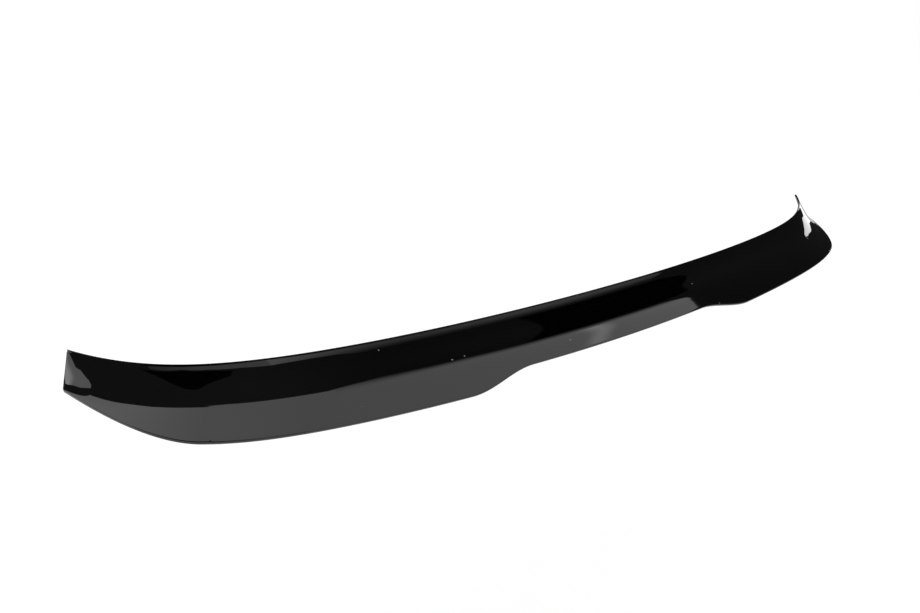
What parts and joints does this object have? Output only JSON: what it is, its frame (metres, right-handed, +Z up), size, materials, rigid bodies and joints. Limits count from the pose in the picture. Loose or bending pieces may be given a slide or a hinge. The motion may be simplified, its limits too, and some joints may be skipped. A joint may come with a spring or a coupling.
{
  "type": "car spoiler lip",
  "caption": "Thin gloss-black moulded lip that caps the trailing edge of a hatchback's roof spoiler, with upswept ends and a brake-lamp cut-out.",
  "frame": {"origin": "middle of the crease between the upper and the lower band, on the outer face", "axes": "+X across the car to its right, +Y towards the front of the car, +Z up, as the lip sits on the car"},
  "size_m": [1.128, 0.1258, 0.0911],
  "materials": {
    "lip": "gloss"
  },
  "bodies": {
    "root": {"spoiler_lip": "lip"}
  },
  "joints": []
}
